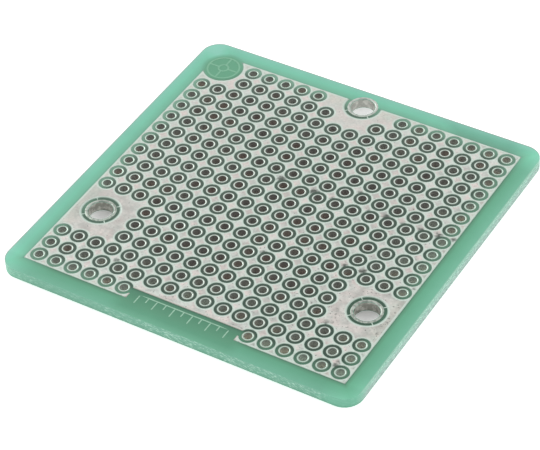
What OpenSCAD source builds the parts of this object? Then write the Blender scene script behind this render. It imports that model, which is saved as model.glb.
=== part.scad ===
// Square prototype board: a glass-epoxy core with a grid of plated
// through-holes, a tinned ground plane on the upper face that keeps a
// clearance ring round every hole, three plated mounting holes on one
// bolt circle and a solder mask on both faces.
// Millimetres. The origin is under the centre of the board, on the plane
// that the lower lands rest on. +Z is up and +Y runs to the rear edge.

/* [Board] */
// Side of the square outline
board_side = 50.8; // [46:0.1:76]
// Radius of the four outline corners
corner_r = 2.5; // [0.5:0.1:4]
// Thickness of the bare glass-epoxy core
core_t = 1.4; // [0.6:0.1:3]
// Width of the masked rim between the outline and the ground plane
rim_w = 2.4; // [1.6:0.05:3.5]

/* [Foil and mask] */
// Thickness of the tinned copper foil
foil_t = 0.05; // [0.03:0.005:0.1]
// Thickness of the solder mask on the core
mask_t = 0.03; // [0.01:0.005:0.06]
// Wall thickness of the copper plated into the holes
plating_t = 0.04; // [0.02:0.005:0.08]

/* [Plated holes] */
// Distance from hole to hole along rows and columns
pitch = 2.54; // [2.4:0.01:5.08]
// Finished diameter of a plated hole
hole_d = 1.0; // [0.6:0.05:1.2]
// Diameter of the tinned land round a plated hole
land_d = 1.5; // [1.4:0.05:1.7]
// Width of the masked clearance ring round a land
ring_w = 0.39; // [0.2:0.005:0.41]
// Least copper between the outermost rings and the edge of the plane
edge_web = 0.2; // [0.1:0.05:1]
// Least copper between a ring and a mounting hole or the corner window
feature_web = 0.45; // [0.2:0.05:1]

/* [Mounting holes] */
// Finished diameter of a mounting hole
mount_d = 3.2; // [2.2:0.1:3.6]
// Diameter of the tinned land round a mounting hole
mount_land_d = 4.1; // [3.9:0.05:5]
// Width of the clearance ring round a mounting land
mount_ring_w = 0.4; // [0.2:0.01:0.6]
// Distance from the centre of the rear mounting hole to the rear edge
mount_inset = 3.05; // [2.8:0.05:6]
// Width of the spokes that tie a mounting land to the plane
spoke_w = 0.17; // [0.1:0.01:0.5]

/* [Front notch] */
// Number of plated holes left out in the middle of the front row
notch_holes = 6; // [2:2:10]
// Depth of the notch in the front edge of the plane
notch_depth = 1.85; // [1:0.05:2.4]
// Copper left between the side of the notch and the nearest ring
notch_web = 0.05; // [0:0.01:0.2]
// Height over the middle of the front row below which that copper stays
notch_lip = -0.5; // [-0.8:0.05:0]

/* [Corner window] */
// Distance from the outline to the centre of the window, both ways
window_inset = 4.6; // [4:0.05:6]
// Diameter of the round window in the rear left corner of the plane
window_d = 5.4; // [5:0.1:6]
// Outer diameter of the masked copper ring in the window
mark_d = 4.6; // [3:0.1:4.9]
// Width of the lines of the masked copper mark
mark_line_w = 0.25; // [0.1:0.05:0.5]
// Outer diameter of the small centre ring of the mark
mark_eye_d = 1.6; // [1:0.1:2.4]

/* [Hidden] */
// Sides that stand for a full circle
hole_fn = 36;
round_fn = 72;
// Overlap that keeps a cutting shape clear of the face it cuts
cut = 1;

// Heights of the layers
skin_t = max(foil_t, mask_t);
core_bottom = skin_t;
core_top = core_bottom + core_t;

// Radii of the plated holes and the mounting holes
hole_r = hole_d / 2;
drill_r = hole_r + plating_t;
land_r = land_d / 2;
ring_r = land_r + ring_w;
mount_r = mount_d / 2;
mount_drill_r = mount_r + plating_t;
mount_land_r = mount_land_d / 2;
mount_ring_r = mount_land_r + mount_ring_w;

// Ground plane and the square grid of holes that fits on it
plane_side = board_side - 2 * rim_w;
rows = floor((plane_side - 2 * (ring_r + edge_web)) / pitch) + 1;
function grid_at(i) = (i - (rows + 1) / 2) * pitch;

// Mounting holes, named and placed by their angle on the bolt circle
mount_angles = [210, 330, 90];
mount_circle_r = board_side / 2 - mount_inset;
function mount_at(a) = mount_circle_r * [cos(a), sin(a)];

// Notch in the front edge of the plane
notch_half = (notch_holes + 1) / 2 * pitch - ring_r - notch_web;
notch_back = -plane_side / 2 + notch_depth;

// Window in the rear left corner of the plane
window_r = window_d / 2;
window_at = (board_side / 2 - window_inset) * [-1, 1];

// A hole is left out where its ring would come too near another feature
function clear_of_mounts(p) = min([
    for (a = mount_angles) norm(p - mount_at(a)) - mount_ring_r - ring_r
]) >= feature_web;
function clear_of_window(p) =
    norm(p - window_at) - window_r - ring_r >= feature_web;
function clear_of_notch(p) =
    norm([max(abs(p[0]) - notch_half, 0), max(p[1] - notch_back, 0)]) >= ring_r;
function row_holes(j) = [
    for (i = [1:rows])
        let (p = [grid_at(i), grid_at(j)])
        if (clear_of_mounts(p) && clear_of_window(p) && clear_of_notch(p)) p
];
holes = [for (j = [1:rows]) each row_holes(j)];

// Square outline with rounded corners
module outline() {
    straight = board_side - 2 * corner_r;
    square([board_side, straight], center = true);
    square([straight, board_side], center = true);
    for (x = [-1, 1], y = [-1, 1])
        translate([x, y] * straight / 2)
            circle(r = corner_r, $fn = round_fn);
}

// One disc of the given radius at every plated hole
module hole_discs(r) {
    for (p = holes)
        translate(p)
            circle(r = r, $fn = hole_fn);
}

// One disc of the given radius at every mounting hole
module mount_discs(r) {
    for (a = mount_angles)
        translate(mount_at(a))
            circle(r = r, $fn = round_fn);
}

// Part of the front edge that the plane leaves free. The wide part takes
// away the slivers between the notch and the rings on either side.
module notch() {
    wide = 2 * (notch_half + notch_web + ring_r);
    lip = grid_at(1) + notch_lip;
    translate([-notch_half, -plane_side / 2 - cut])
        square([2 * notch_half, notch_depth + cut]);
    translate([-wide / 2, lip])
        square([wide, notch_back - lip]);
}

// Round window, opened out to the corner of the plane behind it
module window() {
    translate(window_at)
        circle(r = window_r, $fn = round_fn);
    translate(window_at + window_r * [-1, 0])
        square(window_r);
}

// Four spokes that cross the ring of a mounting hole
module spokes(a) {
    translate(mount_at(a))
        for (turn = [45, 135])
            rotate(turn)
                square([2 * mount_ring_r + spoke_w, spoke_w], center = true);
}

// The square of the plane with everything but the spokes cut out
module plane_field() {
    difference() {
        square(plane_side, center = true);
        hole_discs(ring_r);
        mount_discs(mount_ring_r);
        notch();
        window();
    }
}

// Foil on the upper face: the plane, its mounting lands and their spokes
module foil_pattern() {
    difference() {
        union() {
            plane_field();
            mount_discs(mount_land_r);
            intersection() {
                square(plane_side, center = true);
                for (a = mount_angles)
                    spokes(a);
            }
        }
        mount_discs(mount_drill_r);
    }
}

module substrate() {
    color("#8fc3a9")
        translate([0, 0, core_bottom])
            linear_extrude(core_t)
                difference() {
                    outline();
                    hole_discs(drill_r);
                    mount_discs(mount_drill_r);
                }
}

module tinned_plane() {
    color("#cdcbc8")
        translate([0, 0, core_top])
            linear_extrude(foil_t)
                foil_pattern();
}

// Mask on the upper face: the rim, the notch, the window and the rings
module mask_upper() {
    color("#78c09e")
        translate([0, 0, core_top])
            linear_extrude(mask_t)
                difference() {
                    outline();
                    foil_pattern();
                    hole_discs(land_r);
                    mount_discs(mount_drill_r);
                    mark_pattern();
                }
}

module mask_lower() {
    color("#5fae8c")
        translate([0, 0, core_bottom - mask_t])
            linear_extrude(mask_t)
                difference() {
                    outline();
                    hole_discs(land_r);
                    mount_discs(mount_land_r);
                }
}

// Registration target: an outer ring, a centre ring and four ticks
module mark_pattern() {
    inner = mark_d / 2 - mark_line_w;
    eye = mark_eye_d / 2;
    translate(window_at) {
        difference() {
            circle(d = mark_d, $fn = round_fn);
            circle(r = inner, $fn = round_fn);
        }
        difference() {
            circle(r = eye, $fn = round_fn);
            circle(r = eye - mark_line_w, $fn = round_fn);
        }
        for (turn = [0:90:270])
            rotate(turn)
                translate([eye - mark_line_w / 2, -mark_line_w / 2])
                    square([inner - eye + mark_line_w, mark_line_w]);
    }
}

// The masked copper of the target stands as high as the plane
module corner_mark() {
    color("#8ccfb2")
        translate([0, 0, core_top])
            linear_extrude(foil_t)
                mark_pattern();
}

// Barrel of a mounting hole with the land on its lower end. Its upper
// land is part of the ground plane.
module mount_sleeve(a) {
    color("#d2dbd3")
        translate(concat(mount_at(a), core_bottom - foil_t))
            rotate_extrude($fn = round_fn)
                polygon([
                    [mount_r, 0],
                    [mount_land_r, 0],
                    [mount_land_r, foil_t],
                    [mount_drill_r, foil_t],
                    [mount_drill_r, 2 * foil_t + core_t],
                    [mount_r, 2 * foil_t + core_t],
                ]);
}

// One plated hole: the barrel with a land at each end
module plated_hole() {
    rotate_extrude($fn = hole_fn)
        polygon([
            [hole_r, 0],
            [land_r, 0],
            [land_r, foil_t],
            [drill_r, foil_t],
            [drill_r, foil_t + core_t],
            [land_r, foil_t + core_t],
            [land_r, 2 * foil_t + core_t],
            [hole_r, 2 * foil_t + core_t],
        ]);
}

// The plated holes of one row, counted from the front
module plated_row(j) {
    color("#d2dbd3")
        for (p = row_holes(j))
            translate(concat(p, core_bottom - foil_t))
                plated_hole();
}

substrate();
tinned_plane();
mask_upper();
mask_lower();
corner_mark();
mount_sleeve(mount_angles[0]);  // mount_sleeve_left
mount_sleeve(mount_angles[1]);  // mount_sleeve_right
mount_sleeve(mount_angles[2]);  // mount_sleeve_rear
for (j = [1:rows])
    plated_row(j);
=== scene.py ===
"""Looks for a square prototype board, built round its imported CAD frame.

The board is a glass-epoxy laminate with a solder mask, a tinned copper plane
and a grid of plated holes. The CAD nodes give every place and size; this
script gives them their finishes, and swaps the tinned parts for pieces whose
solder has the soft edges that a flat CAD skin lacks. Lengths are in metres
unless a name or a comment says millimetres.
"""

import logging
import math
from dataclasses import dataclass
from enum import Enum
from functools import cached_property

import bpy
import numpy as np
from mathutils import Matrix, Vector
from mathutils.geometry import delaunay_2d_cdt


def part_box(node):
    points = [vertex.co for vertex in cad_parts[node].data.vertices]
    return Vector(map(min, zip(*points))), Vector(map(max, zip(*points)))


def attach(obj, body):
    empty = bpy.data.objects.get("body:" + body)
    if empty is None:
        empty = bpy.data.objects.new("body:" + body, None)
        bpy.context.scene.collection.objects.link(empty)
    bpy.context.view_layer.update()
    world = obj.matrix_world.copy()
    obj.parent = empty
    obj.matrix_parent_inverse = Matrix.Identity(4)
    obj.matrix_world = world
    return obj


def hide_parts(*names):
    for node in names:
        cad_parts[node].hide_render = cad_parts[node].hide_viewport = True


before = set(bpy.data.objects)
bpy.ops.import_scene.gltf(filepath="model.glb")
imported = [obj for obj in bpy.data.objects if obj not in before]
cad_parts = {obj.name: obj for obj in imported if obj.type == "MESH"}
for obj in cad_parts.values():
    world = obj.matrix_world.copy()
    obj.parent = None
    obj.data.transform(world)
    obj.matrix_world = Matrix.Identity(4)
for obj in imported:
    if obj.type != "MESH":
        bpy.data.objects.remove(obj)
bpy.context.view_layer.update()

LOG = logging.getLogger("prototype_board")
MM = 0.001
MOUNT_NODES = ("mount_sleeve_left", "mount_sleeve_right", "mount_sleeve_rear")

# Sizes of the copper pattern that pieces and finishes share, in millimetres
PITCH = 2.54
PLANE_HALF = 23.0
OUTLINE_HALF = 25.4
CORNER_R = 2.5
TOP = 1.5
NOTCH_HALF = 7.7
NOTCH_BACK = -21.15
WINDOW_AT = (-20.8, 20.8)
WINDOW_R = 2.7
# How far the solder rounds down at the plane's edges
SOLDER_DROP = 0.018

MATH = "ShaderNodeMath"
VECTOR = "ShaderNodeVectorMath"
RAMP = "ShaderNodeValToRGB"
# Inputs: the place, its scale, the detail and the roughness
NOISE = "ShaderNodeTexNoise"
BUMP = "ShaderNodeBump"
# Inputs: the value, the range that it comes from and the range that it goes to,
# each of which is 0 to 1 where it isn't given
RANGE = "ShaderNodeMapRange"
# Inputs for colours: the second one's share, and the two colours
MIX = "ShaderNodeMix"
# Settings of a Mix node for colours, of one that multiplies the colours, and of
# a Map Range node that eases in and out
BLEND = {"data_type": "RGBA"}
TINT = {**BLEND, "blend_type": "MULTIPLY"}
SMOOTH = {"interpolation_type": "SMOOTHSTEP"}

Material = bpy.types.Material
Socket = bpy.types.NodeSocket
# A value for each input of a node, in order or by name or number
Inputs = dict | list | tuple
# Places from 0 to 1 on a colour ramp, and the sRGB hex colour at each
Stops = tuple[tuple[float, str], ...]
# Radius, and depth below a face, of points from a land's outer edge inwards
Profile = tuple[tuple[float, float], ...]


class Slot(Enum):
    """The record's material slots, one for each kind of new piece."""

    TINNED_PLANE = "tinned_plane"
    TINNED_LAND = "tinned_land"
    UPPER_MASK = "upper_mask"


def linear(hex_colour: str) -> tuple[float, float, float, float]:
    """Turns an sRGB hex colour into the linear colour that a shader takes.

    Args:
        hex_colour: six hex digits, such as "8ccab5".

    Returns:
        Linear red, green and blue, and 1 for alpha.
    """
    parts = [int(hex_colour[i : i + 2], 16) / 255 for i in (0, 2, 4)]
    red, green, blue = (
        c / 12.92 if c <= 0.04045 else ((c + 0.055) / 1.055) ** 2.4 for c in parts
    )
    return red, green, blue, 1.0


def add_node(
    tree: bpy.types.NodeTree, kind: str, inputs: Inputs = (), **settings
) -> bpy.types.Node:
    """Adds a node with its settings and links.

    Args:
        tree: the node tree that it joins.
        kind: the node's type name.
        inputs: a value, a hex colour or another node's output for each input,
            as a list for those that the node shows, or by name or number.
        settings: the node's own attributes; stops are a colour ramp's.

    Returns:
        The new node.
    """
    node = tree.nodes.new(kind)
    for at, hex_colour in settings.pop("stops", ()):
        elements = node.color_ramp.elements
        ends = {0.0: elements[0], 1.0: elements[-1]}
        stop = ends[at] if at in ends else elements.new(at)
        stop.color = linear(hex_colour)
    for key, value in settings.items():
        setattr(node, key, value)
    if not isinstance(inputs, dict):
        shown = [number for number, entry in enumerate(node.inputs) if entry.enabled]
        inputs = dict(zip(shown, inputs))
    for key, value in inputs.items():
        entry = node.inputs[key]
        if isinstance(value, Socket):
            tree.links.new(value, entry)
        elif isinstance(value, str):
            entry.default_value = linear(value)[: len(entry.default_value)]
        else:
            entry.default_value = value
    return node


class Graph:
    """A node material that works on Object coordinates in millimetres."""

    def __init__(self, name: str) -> None:
        """Makes the material, its coordinates and their three axes.

        Args:
            name: what the finish is.
        """
        self.material = bpy.data.materials.new(name)
        self.material.use_nodes = True
        self.tree = self.material.node_tree
        self.tree.nodes.clear()
        place = self.add("ShaderNodeTexCoord", out="Object")
        self.mm = self.add(VECTOR, [place, 1 / MM], "SCALE")
        axes = self.add("ShaderNodeSeparateXYZ", [self.mm]).node.outputs
        self.x, self.y, self.z = axes[0], axes[1], axes[2]

    @cached_property
    def across(self) -> Socket:
        """Distance left or right of the board's middle, |x|."""
        return self.add(MATH, [self.x], "ABSOLUTE")

    @cached_property
    def along(self) -> Socket:
        """Distance in front of the board's middle or behind it, |y|."""
        return self.add(MATH, [self.y], "ABSOLUTE")

    @cached_property
    def reach(self) -> Socket:
        """The larger of |x| and |y|, which is even along a square."""
        return self.add(MATH, [self.across, self.along], "MAXIMUM")

    @cached_property
    def slant(self) -> Socket:
        """x - y, which grows from the left rear to the right front."""
        return self.add(MATH, [self.x, self.y], "SUBTRACT")

    @cached_property
    def rise(self) -> Socket:
        """Distance above or below the board's mid-thickness."""
        rise = self.add(MATH, [self.z, TOP / 2], "SUBTRACT")
        return self.add(MATH, [rise], "ABSOLUTE")

    @cached_property
    def mount_gaps(self) -> list[Socket]:
        """Distances from the left, right and rear mounting holes' centres."""
        middles = [(*mount_centre(node) / MM, TOP) for node in MOUNT_NODES]
        return [self.add(VECTOR, [self.mm, middle], "DISTANCE") for middle in middles]

    @cached_property
    def mount_gap(self) -> Socket:
        """Finds the nearest mounting hole.

        Returns:
            The distance from its centre.
        """
        left, right, rear = self.mount_gaps
        gap = self.add(MATH, [left, right], "MINIMUM")
        return self.add(MATH, [gap, rear], "MINIMUM")

    def add(
        self, kind: str, inputs: Inputs = (), operation: str = "", out: str = "", **settings
    ) -> Socket:
        """Adds a node to the material.

        Args:
            kind: the node's type name.
            inputs: what each input takes, as for add_node.
            operation: what a math node does.
            out: the output to return, or else the first that the node shows.
            settings: the node's own attributes, as for add_node.

        Returns:
            One output of the new node.
        """
        if operation:
            settings["operation"] = operation
        outputs = add_node(self.tree, kind, inputs, **settings).outputs
        return outputs[out] if out else next(o for o in outputs if o.enabled)

    def finish(self, **sockets) -> Material:
        """Joins a Principled shader to the output.

        Args:
            sockets: its inputs, with spaces written as underscores.

        Returns:
            The finished material.
        """
        named = {key.replace("_", " "): value for key, value in sockets.items()}
        shader = self.add("ShaderNodeBsdfPrincipled", named)
        add_node(self.tree, "ShaderNodeOutputMaterial", [shader])
        return self.material


def lacquer(g: Graph, green: Socket, sway: float, roughness: float = 0.36) -> Material:
    """Gives solder mask its clouds, which lie in the laminate, and its peel.

    Args:
        g: the mask's graph.
        green: its colour.
        sway: how much lighter and darker the clouds are, as a share.
        roughness: its semi-gloss.

    Returns:
        The finished material.
    """
    # Clouds 3 mm across
    cloud = g.add(NOISE, [g.mm, 0.35, 3])
    tone = g.add(RANGE, [cloud, 0.3, 0.7, 1.0 - sway, 1.0 + sway])
    colour = g.add(VECTOR, [green, tone], "SCALE")
    # Orange peel of the cured ink, about 0.4 mm from crest to crest
    peel = g.add(NOISE, [g.mm, 2.4, 2])
    bump = g.add(BUMP, {"Height": peel, "Strength": 0.12, "Distance": 0.04 * MM})
    return g.finish(Base_Color=colour, Roughness=roughness, Normal=bump)


@dataclass(frozen=True)
class SolderMask:
    """Screen-printed epoxy solder mask: a semi-gloss green lacquer.

    Over bare laminate it is mint, because light comes back up through the
    translucent board, and it deepens towards the copper, which shades the
    laminate. Beside the plane's front and right edges it is painted a deeper
    shade still, with a painted shadow line at the edge. The notch is painted
    the same shade, darkest in a painted shadow line at the plane's edge. The
    squeegee pooled the ink in the window. In the narrow rings between copper
    hardly any light gets in, so there it is bottle green, painted deeper from
    the left rear to the right front, but for the halves of the outermost rings
    that the rim lights. On the left and rear sides the router has frayed the
    ink to a grey line. On the right side, chips in the ink leave a milky line
    that is partly a painted highlight.
    """

    name: str = "green_epoxy_solder_mask"
    open_side: Stops = (
        (0.0, "6aab91"), (0.12, "71b69a"), (0.5, "76c6a9"), (1.0, "84c8b3"),
    )
    # Painted shade beside the plane's front and right edges, running outwards from a painted
    # shadow line at the edge
    painted_shade_side: Stops = (
        (0.0, "3f785e"), (0.08, "559474"), (0.25, "5fa987"), (0.5, "65b08f"),
        (1.0, "74bb9e"),
    )
    # Painted shade in the notch, from a painted shadow line at the plane's edge out to the
    # outline
    notch: Stops = (
        (0.0, "33694f"), (0.1, "478467"), (0.25, "4b8b6c"), (0.5, "549575"),
        (0.75, "589e7e"), (1.0, "6cb192"),
    )
    window: str = "5fa482"
    ring: str = "465c4f"
    # Ring green under the most painted shade, at the right front
    painted_shade_ring: str = "244434"
    ring_by_rim: str = "73a089"
    # The same painted shade on the rim-lit halves of the outermost rings
    painted_shade_ring_by_rim: str = "417158"
    frayed: str = "aaa6a3"
    frayed_w: float = 0.16
    # A milky line on the right edge: chipped ink and a painted highlight
    chipped_and_highlight: str = "a6cebb"

    def build(self) -> Material:
        """Builds the node material.

        Returns:
            The finished material.
        """
        g = Graph(self.name)
        # Distance from the copper: outside the plane, past its cut corner or
        # inside its notch
        outside = g.add(MATH, [g.reach, PLANE_HALF], "SUBTRACT")
        left = g.add(MATH, [WINDOW_AT[0], g.x], "SUBTRACT")
        rear = g.add(MATH, [g.y, WINDOW_AT[1]], "SUBTRACT")
        corner = g.add(MATH, [left, rear], "MINIMUM")
        outside = g.add(MATH, [outside, corner], "MAXIMUM")
        side = g.add(MATH, [NOTCH_HALF, g.across], "SUBTRACT")
        back = g.add(MATH, [NOTCH_BACK, g.y], "SUBTRACT")
        inside = g.add(MATH, [side, back], "MINIMUM")
        clear = g.add(MATH, [outside, inside], "MAXIMUM")
        share = g.add(RANGE, {0: clear, 2: OUTLINE_HALF - PLANE_HALF})
        pale = g.add(RAMP, [share], stops=self.open_side)
        # Painted shade on the front and right rims
        deep = g.add(RAMP, [share], stops=self.painted_shade_side)
        shade_side_share = g.add(RANGE, [g.slant, -3, 6], **SMOOTH)
        rim = g.add(MIX, [shade_side_share, pale, deep], **BLEND)
        # The front border takes more painted shade. Painted light from two sides
        # brightens the corners, least the one beside the window. The rear rim is
        # duller towards its right end
        front = g.add(RANGE, [g.y, -22.6, -23.2, 1, 0.92])
        both = g.add(MATH, [g.across, g.along], "MINIMUM")
        most = g.add(RANGE, [g.slant, -44, -40, 1.1, 1.28])
        lit = g.add(RANGE, [both, 20.8, 24, 1, most])
        off = g.add(MATH, [g.x, 17.6], "SUBTRACT")
        off = g.add(MATH, [off], "ABSOLUTE")
        off = g.add(MATH, [off, g.y], "SUBTRACT")
        least = g.add(RANGE, [g.y, 24.2, 25, 0.8, 0.91])
        dull = g.add(RANGE, [off, -17.5, -19.5, 1, least])
        for gain in (front, lit, dull):
            rim = g.add(VECTOR, [rim, gain], "SCALE")
        # Rings: painted shade deepens them evenly from the left rear to the right
        # front, and the wider slots round the mounting holes let more light in
        ring_shade_share = g.add(RANGE, [g.slant, -32, 32])
        shaded = g.add(MIX, [ring_shade_share, self.ring, self.painted_shade_ring], **BLEND)
        wide = g.add(RANGE, [g.mount_gap, 3, 2.7])
        shaded = g.add(MIX, [wide, shaded, (1.24, 1.36, 1.28, 1)], **TINT)
        lighted = g.add(MIX, [ring_shade_share, self.ring_by_rim, self.painted_shade_ring_by_rim], **BLEND)
        by_rim = g.add(RANGE, [g.reach, 20.4, 22.5], **SMOOTH)
        green = g.add(MIX, [by_rim, shaded, lighted], **BLEND)
        on_rim = g.add(RANGE, [clear, -0.02, 0])
        # Painted shade in the notch, darkest in a painted shadow line at the plane's edge,
        # lightens towards the outline
        span = g.add(RANGE, [g.across, NOTCH_HALF + 1.6, NOTCH_HALF])
        behind = g.add(RANGE, [g.y, NOTCH_BACK + 0.02, NOTCH_BACK])
        in_notch = g.add(MATH, [span, behind], "MULTIPLY")
        depth = g.add(RANGE, {0: back, 2: OUTLINE_HALF + NOTCH_BACK})
        notch_shade = g.add(RAMP, [depth], stops=self.notch)
        away = g.add(VECTOR, [g.mm, (*WINDOW_AT, TOP)], "DISTANCE")
        in_window = g.add(RANGE, [away, WINDOW_R + 0.4, WINDOW_R - 0.4])
        # Distance from the corners' centres, for the frayed line
        knee = OUTLINE_HALF - CORNER_R
        plan = g.add("ShaderNodeCombineXYZ", [g.across, g.along])
        plan = g.add(VECTOR, [plan, (knee, knee, 0)], "SUBTRACT")
        plan = g.add(VECTOR, [plan, (0, 0, 0)], "MAXIMUM")
        bow = g.add(VECTOR, [plan], "LENGTH")
        bare = g.add(RANGE, [bow, CORNER_R - self.frayed_w, CORNER_R - 0.03])
        there = g.add(RANGE, [g.slant, 2, -2])
        bare = g.add(MATH, [bare, there], "MULTIPLY")
        # A milky line on the right edge: chipped ink and a painted highlight
        chip_and_highlight = g.add(RANGE, {0: g.x, 1: OUTLINE_HALF - 0.2, 2: OUTLINE_HALF, 4: 0.8})
        layers = (
            (on_rim, rim), (in_notch, notch_shade), (in_window, self.window),
            (bare, self.frayed), (chip_and_highlight, self.chipped_and_highlight),
        )
        for share, over in layers:
            green = g.add(MIX, [share, green, over], **BLEND)
        return lacquer(g, green, 0.03)


@dataclass(frozen=True)
class LowerMask:
    """The same lacquer on the lower face, where it lies even.

    Where the copper of the upper face keeps the light out, the laminate and
    the ink over it look deeper, with a soft border under the plane's edge.
    """

    name: str = "green_epoxy_solder_mask_underside"
    clear: str = "7cc4a6"
    shaded: str = "579a7b"

    def build(self) -> Material:
        """Builds the node material.

        Returns:
            The finished material.
        """
        g = Graph(self.name)
        deep = g.add(RANGE, [g.reach, PLANE_HALF + 0.6, PLANE_HALF - 0.6], **SMOOTH)
        green = g.add(MIX, [deep, self.clear, self.shaded], **BLEND)
        return lacquer(g, green, 0.05)


@dataclass(frozen=True)
class LevelledTin:
    """Copper levelled with tin solder by hot air: pale, satin and cloudy.

    The solder freezes in patches, so the plane is mottled in tone and gloss.
    Handling has left clouds of grime and small dark specks, most of them at
    the front and right, and a few grey stains beside the rings. Where the
    solder dips to the mask, a skin of green ink creeps up on it, or of grey
    flux at the notch, with a painted highlight along the top of the slope and
    a painted shadow line along its foot.
    """

    name: str = "hot_air_levelled_tin"
    warm: str = "d5ccc7"
    cool: str = "cbd0ca"
    # Ink green on the solder's slopes, from a painted highlight at the top to a painted shadow
    # line at the foot
    creep_and_edge_light: Stops = ((0.0, "d4e1d8"), (0.6, "c8d7cc"), (1.0, "82a191"))
    # The same in grey flux at the notch, with the painted highlight and shadow line
    flux_and_edge_light: Stops = ((0.0, "d3cfc9"), (0.6, "cfccc4"), (1.0, "9da198"))
    speck: str = "5a605b"
    stain: str = "545c56"
    # X, Y and radius
    stains: tuple[tuple[float, float, float], ...] = (
        (-2.05, 4.7, 0.8), (-2.45, 5.15, 0.45), (2.8, 4.65, 0.8),
        (2.55, 5.1, 0.4), (5.6, 4.55, 0.5), (8.1, 7.15, 0.55),
        (10.7, 4.55, 0.55), (13.15, 4.75, 0.75), (15.8, 4.55, 0.5),
        (18.25, 4.6, 0.65), (20.7, 4.65, 0.7), (22.6, 4.9, 0.55),
        (13.0, -5.5, 0.65), (15.5, -5.35, 0.7), (3.0, -8.15, 0.6),
        (15.9, -15.2, 0.45), (16.5, -14.8, 0.3), (16.1, -12.6, 0.3),
        (22.2, -14.0, 0.35), (22.4, -5.1, 0.4), (20.5, -20.9, 0.6),
        (20.55, -20.2, 0.4), (-12.4, -18.0, 0.5), (22.35, 22.3, 0.35),
    )
    roughness: float = 0.36

    def build(self) -> Material:
        """Builds the node material.

        Returns:
            The finished material.
        """
        g = Graph(self.name)
        # Patches of warmer and cooler tin, 1 to 2 mm across, which run
        # together in the open areas round the mounting holes
        area = 5.4, 3.6
        patch = g.add(NOISE, [g.mm, 0.8, 4])
        share = g.add(RANGE, [patch, 0.4, 0.6])
        low = g.add(RANGE, [g.mount_gap, *area, 0, 0.35])
        high = g.add(RANGE, [g.mount_gap, *area, 1, 0.7])
        share = g.add(RANGE, {0: share, 3: low, 4: high})
        colour = g.add(MIX, [share, self.cool, self.warm], **BLEND)
        # Grain of the frozen solder, 0.3 mm
        grain = g.add(NOISE, [g.mm, 3.2, 4])
        tone = g.add(RANGE, [grain, 0.3, 0.7, 0.9, 1.06])
        # Handling has left clouds of grime, 1 to 2 mm across, from the middle
        # to the front and right
        cloud = g.add(NOISE, [g.mm, 0.6, 4])
        least = g.add(RANGE, [g.slant, -14, 0, 0.97, 0.86])
        most = g.add(RANGE, [g.slant, -14, 0, 1.03, 1.12])
        grime = g.add(RANGE, [cloud, 0.42, 0.62, most, least])
        # The rear is a little brighter and the area round the left mounting hole
        # duller. Painted green light from the rim tints the outermost columns and rows
        rear = g.add(RANGE, [g.y, 6, 20, 1, 1.08])
        left = g.add(RANGE, [g.mount_gaps[0], *area, 1, 0.9])
        for gain in (tone, grime, rear, left):
            colour = g.add(VECTOR, [colour, gain], "SCALE")
        # Painted green light from the rim
        outer = g.add(RANGE, [g.reach, 20.6, 22])
        colour = g.add(MIX, [outer, colour, (0.93, 0.98, 0.95, 1)], **TINT)
        # Specks up to 0.3 mm across, more of them towards the front and right
        dust = g.add(NOISE, [g.mm, 3.7, 2])
        dirty = g.add(RANGE, [g.slant, -25, 28, 0.72, 0.63])
        speck = g.add(MATH, [dust, dirty], "SUBTRACT")
        speck = g.add(RANGE, {0: speck, 2: 0.05, 4: 0.6})
        # Stains: how far inside the nearest one, with a ragged edge
        ragged = g.add(NOISE, [g.mm, 1.7, 4], out="Color")
        ragged = g.add(VECTOR, [ragged, (0.5, 0.5, 0.5)], "SUBTRACT")
        ragged = g.add(VECTOR, [ragged, 1.2], "SCALE")
        spot = g.add(VECTOR, [g.mm, ragged], "ADD")
        spot = g.add(VECTOR, [spot, (1, 1, 0)], "MULTIPLY")
        inside: Socket | float = -9.0
        for x, y, radius in self.stains:
            away = g.add(VECTOR, [spot, (x, y, 0.0)], "DISTANCE")
            away = g.add(MATH, [radius, away], "SUBTRACT")
            inside = g.add(MATH, [away, inside], "MAXIMUM")
        stained = g.add(RANGE, {0: inside, 1: -0.05, 2: 0.6, 4: 0.95}, **SMOOTH)
        # How far the solder has dipped from its level
        dip = g.add(RANGE, [g.z, TOP - 0.0003, TOP - SOLDER_DROP])
        # Creeping ink, with a painted highlight at the slope's top and a painted shadow line at
        # its foot
        edge_film_and_light = g.add(RAMP, [dip], stops=self.creep_and_edge_light)
        # At the notch it is grey flux, with the same painted highlight and shadow line
        side = g.add(MATH, [NOTCH_HALF + 0.2, g.across], "SUBTRACT")
        behind = g.add(MATH, [NOTCH_BACK + 0.25, g.y], "SUBTRACT")
        notched = g.add(MATH, [side, behind], "MINIMUM")
        share = g.add(RANGE, [notched, -0.1, 0.1])
        plain = g.add(RAMP, [dip], stops=self.flux_and_edge_light)
        edge_film_and_light = g.add(MIX, [share, edge_film_and_light, plain], **BLEND)
        cover = g.add(RANGE, {0: dip, 2: 0.25})
        for share, over in ((speck, self.speck), (cover, edge_film_and_light), (stained, self.stain)):
            colour = g.add(MIX, [share, colour, over], **BLEND)
        metal = g.add(MATH, [1, cover], "SUBTRACT")
        glossy, matt = self.roughness - 0.06, self.roughness + 0.08
        dull = g.add(RANGE, [grain, 0.3, 0.7, glossy, matt])
        bump = g.add(BUMP, {"Height": grain, "Strength": 0.25, "Distance": 0.03 * MM})
        return g.finish(Base_Color=colour, Metallic=metal, Roughness=dull, Normal=bump)


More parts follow.
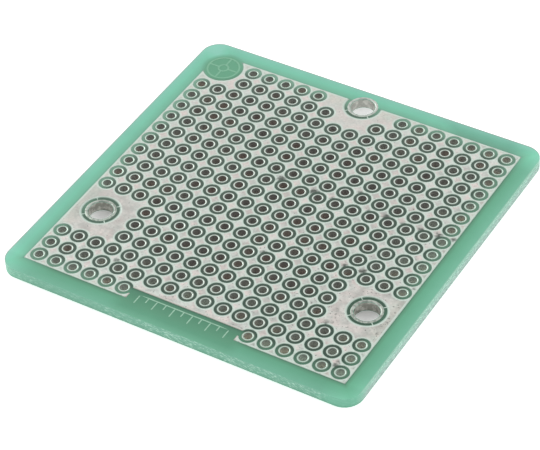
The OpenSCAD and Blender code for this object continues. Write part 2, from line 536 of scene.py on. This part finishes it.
@dataclass(frozen=True)
class SolderedLand:
    """Tin solder on a land, with a dark barrel.

    On the faces it is bright tin, a little greener by the rim, where painted
    green light tints it, and darker towards the front. At the mouth of the
    barrel it turns to the brown grey of plating that the hot air has not
    polished, darkened by painted shade, and painted light makes it paler
    halfway down. Nearer the rim, painted green light from the laminate tints
    it more, most of all at the front and right.
    """

    name: str = "tin_soldered_land"
    land: str = "d2dfd5"
    # Tin by the rim, under painted green light
    land_by_rim: str = "cae2d3"
    # Barrel: painted shade at the mouth, painted light halfway down, and painted green light by
    # the rim
    mouth: str = "656461"
    middle: str = "b9b6b0"
    mouth_by_rim: str = "889289"
    middle_by_rim: str = "e0e9df"
    roughness: float = 0.38

    def build(self) -> Material:
        """Builds the node material.

        Returns:
            The finished material.
        """
        g = Graph(self.name)
        bright = g.add(RANGE, [g.rise, TOP / 2 - 0.012, TOP / 2 - 0.008])
        # Painted light makes the barrel paler deeper down
        deep = g.add(RANGE, [g.rise, TOP / 2 - 0.02, 0.1])
        inner = g.add(MIX, [deep, self.mouth, self.middle], **BLEND)
        outer = g.add(MIX, [deep, self.mouth_by_rim, self.middle_by_rim], **BLEND)
        # Painted green light from the laminate near the rim, most at the front and right
        near_rim = g.add(RANGE, [g.reach, 7, 22])
        near_rim = g.add(MATH, [near_rim, 2.2], "POWER")
        facing = g.add(RANGE, [g.slant, -20, 20, 0.3])
        # Some barrels are greener than others: a cloud 6 mm across
        cloud = g.add(NOISE, [g.mm, 0.18, 2])
        odd = g.add(RANGE, [cloud, 0.35, 0.65, -0.15, 0.2])
        greener = g.add(MATH, [near_rim, facing, odd], "MULTIPLY_ADD", use_clamp=True)
        barrel = g.add(MIX, [greener, inner, outer], **BLEND)
        # And some are browner: another cloud, 4 mm across
        cloud = g.add(NOISE, [g.mm, 0.27, 1])
        rusty = g.add(RANGE, [cloud, 0.5, 0.62])
        barrel = g.add(MIX, [rusty, barrel, (1.06, 0.94, 0.9, 1)], **TINT)
        # Painted green light from the rim on the land, which is darker towards the front
        outer = g.add(RANGE, [g.reach, 19, 21.5])
        land = g.add(MIX, [outer, self.land, self.land_by_rim], **BLEND)
        fade = g.add(RANGE, [g.y, -12, -23, 1, 0.86])
        land = g.add(VECTOR, [land, fade], "SCALE")
        colour = g.add(MIX, [bright, barrel, land], **BLEND)
        dull = g.add(RANGE, {0: bright, 3: 0.7, 4: self.roughness})
        metal = g.add(RANGE, {0: bright, 3: 0.2})
        return g.finish(Base_Color=colour, Metallic=metal, Roughness=dull)


@dataclass(frozen=True)
class DrilledSleeve:
    """Plated wall of a mounting hole: tin that drilling marks show through.

    Screw heads have knocked its land, and a trace of green ink lies on the
    land's outer edge. Painted light makes the rear hole the palest.
    """

    name: str = "tinned_drilled_wall"
    land: str = "bec2bb"
    knocked: str = "9ca09a"
    wall: str = "d4d4cd"
    blotch: str = "a6a79f"
    # Painted light on the rear hole
    rear_painted_light: str = "e6e8e4"
    roughness: float = 0.5

    def build(self) -> Material:
        """Builds the node material.

        Returns:
            The finished material.
        """
        g = Graph(self.name)
        on_land = g.add(RANGE, [g.rise, TOP / 2 - 0.15, TOP / 2 - 0.05])
        # Blotches of bare plating in the hole, about 0.6 mm across
        blotch = g.add(NOISE, [g.mm, 1.5, 4])
        share = g.add(RANGE, [blotch, 0.45, 0.6])
        wall = g.add(MIX, [share, self.blotch, self.wall], **BLEND)
        # Knocks, about 0.4 mm across, which break the land's shine
        mark = g.add(NOISE, [g.mm, 2.2, 4])
        whole = g.add(RANGE, [mark, 0.44, 0.54])
        land = g.add(MIX, [whole, self.knocked, self.land], **BLEND)
        edge = g.add(RANGE, [g.mount_gap, 1.85, 2])
        land = g.add(MIX, [edge, land, (0.94, 1.07, 1, 1)], **TINT)
        # Painted light pales the rear hole's wall and land
        behind = g.add(RANGE, {0: g.y, 2: 18, 4: 0.3})
        colour = g.add(MIX, [on_land, wall, land], **BLEND)
        colour = g.add(MIX, [behind, colour, self.rear_painted_light], **BLEND)
        grain = g.add(NOISE, [g.mm, 3.2, 4])
        bump = g.add(BUMP, {"Height": grain, "Strength": 0.4, "Distance": 0.04 * MM})
        return g.finish(Base_Color=colour, Metallic=1.0, Roughness=self.roughness, Normal=bump)


@dataclass(frozen=True)
class GlassEpoxy:
    """Woven glass in epoxy, routed at the edge: green, cloudy and fibrous.

    The mask's green runs through the translucent edge, and cut strands of
    glass show in it as short pale dashes along the plies. Painted light makes
    the right side milky, and greyer towards the bottom. The mask runs over the
    front right corner and hides the strands there.
    """

    name: str = "routed_glass_epoxy"
    resin: str = "69a68d"
    sheathed: str = "66ad91"
    # Painted light on the right side, at the top and at the bottom
    milky: str = "7aaf9a"
    milky_low: str = "8ca49c"
    fibre: str = "b0d6c5"
    roughness: float = 0.5

    def build(self) -> Material:
        """Builds the node material.

        Returns:
            The finished material.
        """
        g = Graph(self.name)
        over = g.add(RANGE, [g.slant, 45.5, 47.5])
        base = g.add(MIX, [over, self.resin, self.sheathed], **BLEND)
        fall = g.add(RANGE, [g.z, TOP - 0.2, 0.3])
        milk = g.add(MIX, [fall, self.milky, self.milky_low], **BLEND)
        # Painted light on the right side
        lit_right_side = g.add(RANGE, [g.x, 24.7, 25.3], **SMOOTH)
        behind = g.add(RANGE, [g.y, -24.2, -22])
        lit_right_side = g.add(MATH, [lit_right_side, behind], "MULTIPLY")
        base = g.add(MIX, [lit_right_side, base, milk], **BLEND)
        # Strands 0.1 mm high and up to 0.8 mm long, which lean as the cutter
        # dragged them and are bunched every few mm. It tore more of them from
        # the middle of a side on
        lean = g.add(MATH, [g.x, 0.12, g.z], "MULTIPLY_ADD")
        run = g.add("ShaderNodeCombineXYZ", [g.x, g.y, lean])
        run = g.add(VECTOR, [run, (1.7, 1.7, 8)], "MULTIPLY")
        ply = g.add(NOISE, [run, 1, 3, 0.6])
        strand = g.add(RANGE, [ply, 0.54, 0.58])
        bunch = g.add(NOISE, [g.mm, 0.12, 1])
        dense = g.add(RANGE, [bunch, 0.35, 0.55, 0.6, 0.95])
        torn = g.add(RANGE, [g.x, -11, -4, 0.35, 0.8])
        whole = g.add(RANGE, [g.slant, 46, 48, 1, 0.2])
        for share in (dense, torn, whole):
            strand = g.add(MATH, [strand, share], "MULTIPLY")
        colour = g.add(MIX, [strand, base, self.fibre], **BLEND)
        # The cut is darker along its lower edge, a painted shadow line, and painted
        # light brightens the front left corner
        low = g.add(RANGE, [g.z, 0.1, 0.4, 0.86, 1.02])
        left = g.add(RANGE, [g.x, -20, -23.5, 1, 1.17])
        for gain in (low, left):
            colour = g.add(VECTOR, [colour, gain], "SCALE")
        bump = g.add(BUMP, {"Height": ply, "Strength": 0.4, "Distance": 0.05 * MM})
        return g.finish(Base_Color=colour, Roughness=self.roughness, Normal=bump)


@dataclass(frozen=True)
class MaskedCopper:
    """Raised copper under thin mask: even, glossy and paler than the pool.

    Attributes:
        fine: scale of its clouds, per millimetre.
        sway: the noise values between which they lighten, and the gains there.
    """

    name: str = "masked_copper"
    green: str = "7ab696"
    fine: float = 1.1
    sway: tuple[float, ...] = (0.3, 0.7, 0.94, 1.06)
    roughness: float = 0.3

    def build(self) -> Material:
        """Builds the node material.

        Returns:
            The finished material.
        """
        g = Graph(self.name)
        cloud = g.add(NOISE, [g.mm, self.fine, 3])
        tone = g.add(RANGE, [cloud, *self.sway])
        colour = g.add(VECTOR, [self.green, tone], "SCALE")
        return g.finish(Base_Color=colour, Roughness=self.roughness)


@dataclass(frozen=True)
class LegendInk(MaskedCopper):
    """Raised strokes under thin mask: a paler, milky green with soft gloss."""

    name: str = "raised_green_legend"
    green: str = "9ac8ad"
    fine: float = 2.5
    sway: tuple[float, ...] = (0.35, 0.65, 0.85, 1.05)
    roughness: float = 0.4


def make_piece(
    name: str,
    points: np.ndarray,
    faces: np.ndarray,
    material: Material,
    smooth: np.ndarray | bool = True,
) -> bpy.types.Object:
    """Makes a mesh object at the origin from arrays.

    Args:
        name: the piece's name.
        points: vertices in metres, one row each.
        faces: vertex numbers of each face, one row each.
        material: its finish.
        smooth: whether the faces are shaded smooth, for all or for each.

    Returns:
        The new object, linked to the scene.
    """
    mesh = bpy.data.meshes.new(name)
    mesh.from_pydata(points.tolist(), [], faces.tolist())
    flags = np.broadcast_to(np.asarray(smooth, bool), (len(faces),))
    mesh.polygons.foreach_set("use_smooth", flags)
    mesh.materials.append(material)
    mesh.update()
    piece = bpy.data.objects.new(name, mesh)
    bpy.context.scene.collection.objects.link(piece)
    return piece


def stand_in(piece: bpy.types.Object, slot: Slot, *nodes: str) -> None:
    """Puts a piece in the place of CAD nodes.

    Args:
        piece: the new piece.
        slot: its material slot; not used.
        nodes: the CAD nodes that it stands for, if any.
    """
    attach(piece, "root")
    if nodes:
        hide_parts(*nodes)
    LOG.info("%s: %d faces", piece.name, len(piece.data.polygons))


def rays(turns: np.ndarray) -> np.ndarray:
    """Unit vectors at angles in radians."""
    return np.stack([np.cos(turns), np.sin(turns)], axis=-1)


def circle(centre: np.ndarray, radius: float, sides: int) -> np.ndarray:
    """Points of a regular polygon whose corners lie on a circle."""
    return centre + radius * rays(np.arange(sides) * (2 * math.pi / sides))


def revolve(
    profile: np.ndarray, centres: np.ndarray, sides: int
) -> tuple[np.ndarray, np.ndarray]:
    """Turns one profile round an upright axis at each of several centres.

    A point is centre + r (cos u, sin u) at height z, where u goes once round
    and (r, z) runs down the profile. The last side joins the first.

    Args:
        profile: radius and height of each point, from the outer edge of the
            upper face, through the hole, to the outer edge of the lower face.
        centres: X and Y of each axis.
        sides: faces round the axis.

    Returns:
        The vertices, and the quads in the order centre, strip, side. They
        face away from the metal.
    """
    ring = circle(np.zeros(2), 1.0, sides)
    count, rings = len(centres), len(profile)
    flat = centres[:, None, None] + profile[None, :, None, :1] * ring
    height = np.broadcast_to(profile[None, :, None, 1:], (count, rings, sides, 1))
    points = np.concatenate([flat, height], axis=3).reshape(-1, 3)
    number = np.arange(count * rings * sides).reshape(count, rings, sides)
    here, after = number[:, :-1], number[:, 1:]
    quads = [here, np.roll(here, -1, 2), np.roll(after, -1, 2), after]
    return points, np.stack(quads, axis=3).reshape(-1, 4)


def through(upper: Profile, lower: Profile, low: float, high: float) -> np.ndarray:
    """Joins the profiles of a hole's two faces.

    Args:
        upper: the upper face's profile, in millimetres.
        lower: the lower face's profile, in millimetres.
        low: height of the lower face, in metres.
        high: height of the upper face, in metres.

    Returns:
        Radius and height in metres of each point, from the upper to the lower
        land.
    """
    top = [(r * MM, high - depth * MM) for r, depth in upper]
    bottom = [(r * MM, low + depth * MM) for r, depth in reversed(lower)]
    return np.array(top + bottom)


def rectangle(low: tuple[float, float], high: tuple[float, float]) -> np.ndarray:
    """Corners of an upright rectangle, anticlockwise."""
    return np.array([low, (high[0], low[1]), high, (low[0], high[1])], float)


def row_names() -> list[str]:
    """Names of the CAD rows of plated holes."""
    return sorted(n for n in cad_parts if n.startswith("plated_row_"))


def hole_centres(node: str) -> np.ndarray:
    """Finds the hole centres of a CAD row from its mesh.

    Args:
        node: the CAD row's name.

    Returns:
        X and Y of each hole, in metres.
    """
    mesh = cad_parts[node].data
    flat = np.empty(len(mesh.vertices) * 3, np.float32)
    mesh.vertices.foreach_get("co", flat)
    places = flat.reshape(-1, 3) / (PITCH * MM)
    column = np.unique(np.round(places[:, 0] - 0.5)) + 0.5
    row = round(places[:, 1].mean() - 0.5) + 0.5
    return np.stack([column, np.full(len(column), row)], axis=1) * PITCH * MM


def mount_centre(node: str) -> np.ndarray:
    """X and Y of a mounting hole's axis, from its CAD sleeve."""
    low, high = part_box(node)
    return np.array((low + high)[:2]) / 2


@dataclass
class PlatedHoles:
    """The rows of lead holes: solder-domed lands on open barrels.

    Attributes:
        upper: the upper face's profile, in millimetres. At its outer point
            the solder laps just onto the mask.
        lower: the same for the lower face, where the solder lies flatter.
        sides: faces round a hole.
    """

    upper: Profile = ((0.8, 0.021), (0.67, 0.0), (0.535, 0.014))
    lower: Profile = ((0.75, 0.0), (0.535, 0.0))
    sides: int = 16
    finish: SolderedLand = SolderedLand()

    def build(self) -> None:
        """Builds a piece for each CAD row. The barrels' faces stay flat."""
        material = self.finish.build()
        strips = len(self.upper) + len(self.lower) - 1
        for node in row_names():
            low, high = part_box(node)
            centres = hole_centres(node)
            profile = through(self.upper, self.lower, low.z, high.z)
            points, quads = revolve(profile, centres, self.sides)
            smooth = np.ones((len(centres), strips, self.sides), bool)
            smooth[:, len(self.upper) - 1] = False
            name = node.replace("plated", "soldered")
            piece = make_piece(name, points, quads, material, smooth.ravel())
            stand_in(piece, Slot.TINNED_LAND, node)


@dataclass
class MountCollars:
    """The three mounting holes: a domed land, a soft mouth and the wall.

    Attributes:
        face: each face's profile, in millimetres.
        sides: faces round a hole.
    """

    face: Profile = (
        (2.06, 0.034), (1.99, 0.015), (1.91, 0.004), (1.83, 0.0),
        (1.76, 0.01), (1.69, 0.04), (1.63, 0.1), (1.6, 0.2),
    )
    sides: int = 72
    finish: DrilledSleeve = DrilledSleeve()

    def build(self) -> None:
        """Builds a piece for each CAD sleeve."""
        material = self.finish.build()
        for node in MOUNT_NODES:
            low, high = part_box(node)
            profile = through(self.face, self.face, low.z, high.z)
            centres = mount_centre(node)[None]
            points, quads = revolve(profile, centres, self.sides)
            name = node.replace("sleeve", "collar")
            piece = make_piece(name, points, quads, material)
            stand_in(piece, Slot.TINNED_LAND, node)


@dataclass
class TinnedPlane:
    """The tinned plane, whose solder rounds down to every edge.

    Its plan is worked out in millimetres: a square, less a disc at each ring,
    the notch, the window and the slots round each mounting land. Its height
    falls by (1 - d / border) squared times drop, where d is the distance to
    the nearest edge.

    Attributes:
        ring_r: radius of the openings round the lead holes.
        mount_land_r: inner radius of the slots; mount_ring_r is the outer one.
        slot_lap: how far the slots' outlines run under the land's.
        notch_wide: half width of the notch's front part.
        notch_lip: how far back that part goes.
        border: width of the sloping edge; drop is its height.
        depth: the piece's thickness.
        weld: the distance within which two points are one.
        level_from: the share of the border that counts as level.
    """

    ring_r: float = 1.125
    ring_sides: int = 24
    mount_land_r: float = 2.05
    mount_ring_r: float = 2.42
    slot_lap: float = 0.02
    spoke_w: float = 0.17
    spoke_turns: tuple[float, ...] = (45.0, 135.0, 225.0, 315.0)
    arc_sides: int = 72
    slot_points: int = 18
    notch_wide: float = 8.89
    notch_lip: float = -22.09
    border: float = 0.36
    drop: float = SOLDER_DROP
    depth: float = 0.02
    weld: float = 1e-6
    level_from: float = 0.999
    finish: LevelledTin = LevelledTin()

    def __post_init__(self) -> None:
        """Finds the holes and mounting holes in the CAD frame."""
        self.holes = np.concatenate([hole_centres(n) for n in row_names()]) / MM
        self.mounts = np.array([mount_centre(n) for n in MOUNT_NODES]) / MM

    def openings(self, grow: float) -> list[np.ndarray]:
        """Outlines of what is cut from the square, apart from the slots.

        Args:
            grow: how far each outline is moved out, for the border's inside.

        Returns:
            Loops of points.
        """
        corner = np.array(WINDOW_AT)
        loops = [circle(c, self.ring_r + grow, self.ring_sides) for c in self.holes]
        loops.append(circle(corner, WINDOW_R + grow, self.arc_sides))
        # These run out past the square's edge
        out = PLANE_HALF + 1.0
        loops.append(rectangle((-out, corner[1] - grow), (corner[0] + grow, out)))
        half, wide = NOTCH_HALF + grow, self.notch_wide + grow
        loops.append(rectangle((-half, -out), (half, NOTCH_BACK + grow)))
        loops.append(rectangle((-wide, self.notch_lip - grow), (wide, NOTCH_BACK)))
        return loops

    def slots(self, centre: np.ndarray) -> list[np.ndarray]:
        """Outlines of a mounting hole's land and of the slots round it.

        A slot runs between two spokes, whose sides are parallel, so it starts
        at the angle asin(half width / radius) past a spoke's axis.

        Args:
            centre: the mounting hole's place.

        Returns:
            The land's loop and the four slots' loops.
        """
        loops = [circle(centre, self.mount_land_r, self.arc_sides)]
        for spoke in np.radians(self.spoke_turns):
            arcs = []
            for radius in (self.mount_land_r - self.slot_lap, self.mount_ring_r):
                edge = math.asin(self.spoke_w / 2 / radius)
                ends = (spoke + edge, spoke + math.pi / 2 - edge)
                arcs.append(centre + radius * rays(np.linspace(*ends, self.slot_points)))
            loops.append(np.concatenate([arcs[1], arcs[0][::-1]]))
        return loops

    def from_edge(self, plan: np.ndarray) -> np.ndarray:
        """Distance of each point from the nearest edge of the plane.

        Args:
            plan: X and Y of each point.

        Returns:
            The distances, which are nought or less in an opening.
        """
        x, y = plan[:, 0], plan[:, 1]
        gap = np.linalg.norm(plan[:, None] - self.holes[None], axis=2).min(axis=1)
        edges = [PLANE_HALF - np.abs(plan).max(axis=1), gap - self.ring_r]
        corner = np.array(WINDOW_AT)
        edges.append(np.linalg.norm(plan - corner, axis=1) - WINDOW_R)
        edges.append(np.maximum(x - corner[0], corner[1] - y))
        edges.append(np.maximum(np.abs(x) - NOTCH_HALF, y - NOTCH_BACK))
        wide = np.maximum(np.abs(x) - self.notch_wide, y - NOTCH_BACK)
        edges.append(np.maximum(wide, self.notch_lip - y))
        middle = (self.mount_land_r + self.mount_ring_r) / 2
        for centre in self.mounts:
            dx, dy = (plan - centre).T
            off = np.abs(np.hypot(dx, dy) - middle) - (self.mount_ring_r - middle)
            aside = np.minimum(np.abs(dx - dy), np.abs(dx + dy)) / math.sqrt(2)
            edges.append(np.maximum(off, self.spoke_w / 2 - aside))
        return np.min(edges, axis=0)

    def build(self) -> None:
        """Triangulates the plan, lifts it and gives it its thickness."""
        square = rectangle((-PLANE_HALF, -PLANE_HALF), (PLANE_HALF, PLANE_HALF))
        cut = self.openings(0.0)
        for centre in self.mounts:
            cut += self.slots(centre)
        inner = PLANE_HALF - self.border
        guides = self.openings(self.border / 2) + self.openings(self.border)
        guides.append(rectangle((-inner, -inner), (inner, inner)))
        grown = self.mount_ring_r + self.border
        guides += [circle(c, grown, self.arc_sides) for c in self.mounts]
        # The square and the openings are faces, and the guides only lines
        points: list[np.ndarray] = []
        faces: list[list[int]] = []
        lines: list[tuple[int, int]] = []
        count = 0
        for number, loop in enumerate([square, *cut, *guides]):
            ring = list(range(count, count + len(loop)))
            if number <= len(cut):
                faces.append(ring)
            else:
                lines += zip(ring, ring[1:] + ring[:1])
            points.append(loop)
            count += len(loop)
        # A ridge line down the middle of each spoke
        for centre in self.mounts:
            for ray in rays(np.radians(self.spoke_turns)):
                points.append(centre + np.outer((self.mount_land_r, grown), ray))
                lines.append((count, count + 1))
                count += 2
        plan = [Vector(p) for p in np.concatenate(points)]
        spots, _, corners, _, _, whose = delaunay_2d_cdt(plan, lines, faces, 0, self.weld, True)
        # Triangles that lie in the square alone
        kept = np.array([c for c, own in zip(corners, whose) if own == [0]])
        used, kept = np.unique(kept, return_inverse=True)
        kept = kept.reshape(-1, 3)
        flat = np.array([tuple(s) for s in spots])[used]
        near = np.clip(self.from_edge(flat) / self.border, 0.0, 1.0)
        _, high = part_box("tinned_plane")
        height = high.z - self.drop * MM * (1.0 - near) ** 2
        lifted = np.concatenate([flat * MM, height[:, None]], axis=1)
        # Only the slopes are shaded smooth
        curved = near[kept].min(axis=1) < self.level_from
        piece = make_piece("levelled_plane", lifted, kept, self.finish.build(), curved)
        wall = piece.modifiers.new("thickness", "SOLIDIFY")
        wall.thickness, wall.offset = self.depth * MM, -1.0
        stand_in(piece, Slot.TINNED_PLANE, "tinned_plane")


@dataclass
class PitchScale:
    """A plain scale of raised ticks in the notch, one for each half pitch.

    Each stroke is a low ridge: across it the height is 1 - v squared, and it
    falls to nothing over the last part of its length.

    Attributes:
        tick_w: width of a stroke; short and long are the ticks' lengths.
        overhang: how far the base line runs past the outer ticks.
        base_y: the base line's place.
        foot: height that the strokes start from; rise is their own.
    """

    ticks: int = 11
    tick_w: float = 0.2 * MM
    short: float = 0.9 * MM
    long: float = 1.6 * MM
    overhang: float = 0.3 * MM
    base_y: float = -21.8 * MM
    foot: float = 1.474 * MM
    rise: float = 0.024 * MM
    finish: LegendInk = LegendInk()

    def ridge(self, start: np.ndarray, end: np.ndarray) -> tuple[np.ndarray, np.ndarray]:
        """Makes one stroke as a grid of points.

        Args:
            start: X and Y of one end.
            end: X and Y of the other end.

        Returns:
            The stroke's vertices and quads.
        """
        rows, columns = 9, 5
        places = np.linspace(0, 1, rows), np.linspace(-1, 1, columns)
        u, v = np.meshgrid(*places, indexing="ij")
        along = end - start
        aside = np.array([-along[1], along[0]]) / np.linalg.norm(along)
        reach = np.linalg.norm(along) / self.tick_w
        taper = np.clip(np.minimum(u, 1 - u) * 2 * reach, 0, 1)
        taper = np.sqrt(1 - (1 - taper) ** 2)
        plan = start + u[..., None] * along
        plan = plan + (v * taper * self.tick_w / 2)[..., None] * aside
        height = self.foot + self.rise * (1 - v**2) * taper
        points = np.concatenate([plan, height[..., None]], axis=2).reshape(-1, 3)
        number = np.arange(rows * columns).reshape(rows, columns)
        quads = [number[:-1, :-1], number[1:, :-1], number[1:, 1:], number[:-1, 1:]]
        return points, np.stack(quads, axis=2).reshape(-1, 4)

    def build(self) -> None:
        """Builds the base line and the ticks as one piece."""
        half = (self.ticks - 1) / 2 * PITCH / 2 * MM
        end = half + self.overhang
        strokes = [((-end, self.base_y), (end, self.base_y))]
        for number, x in enumerate(np.linspace(-half, half, self.ticks)):
            drop = self.long if number % 2 == 0 else self.short
            strokes.append(((x, self.base_y), (x, self.base_y - drop)))
        points, faces = zip(*[self.ridge(np.array(a), np.array(b)) for a, b in strokes])
        faces = [quads + n * len(points[0]) for n, quads in enumerate(faces)]
        shape = np.concatenate(points), np.concatenate(faces)
        piece = make_piece("pitch_scale", *shape, self.finish.build())
        stand_in(piece, Slot.UPPER_MASK)


@dataclass
class CarriedNodes:
    """The CAD nodes that keep their own shape and get a finish."""

    def build(self) -> None:
        """Gives each node its finish."""
        finishes = {
            "substrate": GlassEpoxy().build(),
            "mask_upper": SolderMask().build(),
            "mask_lower": LowerMask().build(),
            "corner_mark": MaskedCopper().build(),
        }
        for node, material in finishes.items():
            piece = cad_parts[node]
            piece.data.materials.clear()
            piece.data.materials.append(material)
            LOG.info("%s: %s", node, material.name)


def toward(azimuth: float, elevation: float) -> Vector:
    """Direction (sin a cos e, -cos a cos e, sin e), for angles in degrees."""
    a, e = math.radians(azimuth), math.radians(elevation)
    return Vector((math.sin(a) * math.cos(e), -math.cos(a) * math.cos(e), math.sin(e)))


@dataclass
class Studio:
    """Pale floor, soft light and the camera.

    Attributes:
        aim: the point that the camera looks at; its angles are in degrees.
        lens: its focal length, in millimetres, as film_w is.
        clip: the nearest and farthest that it sees.
        shade_w: how far in from the outline the floor's shade fades, in mm.
        glow_under: the floor's painted glow under the board, dimmed there as a painted shadow,
            and round it next.
        sky: brightness of the room, and of its ceiling's dark middle next.
        dark_elevation: that middle's height above the horizon, in degrees.
        dark_span: the dot products at which the darkness starts and is full.
        boxes: name, place and power in watts of each soft box.
    """

    aim: tuple[float, float, float] = (1.075 * MM, -3.419 * MM, 1.483 * MM)
    azimuth: float = 33.263
    elevation: float = 42.152
    roll: float = -3.484
    distance: float = 295.3 * MM
    lens: float = 156.87
    film_w: float = 36.0
    clip: tuple[float, float] = (0.01, 20.0)
    floor_half: float = 3.0
    shade_w: float = 6.0
    glow_under: float = 0.12
    glow_round: float = 0.55
    sky: float = 0.94
    zenith: float = 0.35
    dark_elevation: float = 72.0
    dark_span: tuple[float, float] = (0.55, 0.95)
    box_side: float = 0.6
    boxes: tuple[tuple[str, tuple[float, float, float], float], ...] = (
        ("left_box", (-0.79, 0.16, 0.45), 3.0),
        ("right_box", (0.75, 0.5, 0.45), 2.5),
    )

    def camera(self) -> None:
        """Places the camera on a sphere round the aim point, and rolls it."""
        back = toward(self.azimuth, self.elevation)
        data = bpy.data.cameras.new("camera")
        data.lens, data.sensor_width = self.lens, self.film_w
        data.clip_start, data.clip_end = self.clip
        camera = bpy.data.objects.new("camera", data)
        camera.matrix_world = (
            Matrix.Translation(Vector(self.aim) + back * self.distance)
            @ (-back).to_track_quat("-Z", "Y").to_matrix().to_4x4()
            @ Matrix.Rotation(math.radians(self.roll), 4, "Z")
        )
        bpy.context.scene.collection.objects.link(camera)
        bpy.context.scene.camera = camera

    def floor(self) -> None:
        """Lays a plain pale floor under the board.

        It glows faintly with painted light, and less where the board covers it, a painted
        shadow.
        """
        g = Graph("matt_white_floor")
        # Painted light: the floor's glow, dimmed under the board as a painted shadow
        covered = g.reach, OUTLINE_HALF - self.shade_w, OUTLINE_HALF
        glow = g.add(RANGE, [*covered, self.glow_under, self.glow_round])
        speck = g.add(NOISE, [g.mm, 0.02, 2.0])
        tone = g.add(RANGE, {0: speck, 3: 0.93, 4: 0.95})
        half = self.floor_half
        corners = np.append(rectangle((-half, -half), (half, half)), np.zeros((4, 1)), 1)
        lit = {"Emission_Color": "ffffff", "Emission_Strength": glow}
        material = g.finish(Base_Color=tone, Roughness=0.9, Specular_IOR_Level=0.0, **lit)
        floor = make_piece("floor", corners, np.array([[0, 1, 2, 3]]), material, False)

    def world(self) -> None:
        """Makes a pale room whose ceiling above the camera is darker.

        The brightness falls from sky to zenith with the dot product of the
        direction looked at and the direction of the ceiling's dark middle.
        """
        world = bpy.data.worlds.new("pale_room")
        world.use_nodes = True
        dark = toward(self.azimuth, self.dark_elevation)
        tree = world.node_tree
        look = add_node(tree, "ShaderNodeTexCoord").outputs["Generated"]
        dot = add_node(tree, VECTOR, [look, dark], operation="DOT_PRODUCT")
        fall = [dot.outputs["Value"], *self.dark_span, self.sky, self.zenith]
        fall = add_node(tree, RANGE, fall, **SMOOTH).outputs[0]
        ground = tree.nodes["Background"]
        tree.links.new(fall, ground.inputs["Strength"])
        ground.inputs["Color"].default_value = linear("ffffff")
        bpy.context.scene.world = world

    def lights(self) -> None:
        """Hangs the square soft boxes, which face the board."""
        for name, place, power in self.boxes:
            data = bpy.data.lights.new(name, "AREA")
            data.size, data.energy = self.box_side, power
            lamp = bpy.data.objects.new(name, data)
            lamp.location = place
            lamp.rotation_euler = (-Vector(place)).to_track_quat("-Z", "Y").to_euler()
            bpy.context.scene.collection.objects.link(lamp)

    def build(self) -> None:
        """Builds the camera, the floor, the room and the lamps."""
        self.camera()
        self.floor()
        self.world()
        self.lights()
        bpy.context.scene.view_settings.view_transform = "Standard"


def main() -> None:
    """Builds the studio and the board in order and reports each piece."""
    logging.basicConfig(level=logging.INFO, format="%(message)s")
    Studio().build()
    CarriedNodes().build()
    PlatedHoles().build()
    MountCollars().build()
    TinnedPlane().build()
    PitchScale().build()


if __name__ == "__main__":
    main()
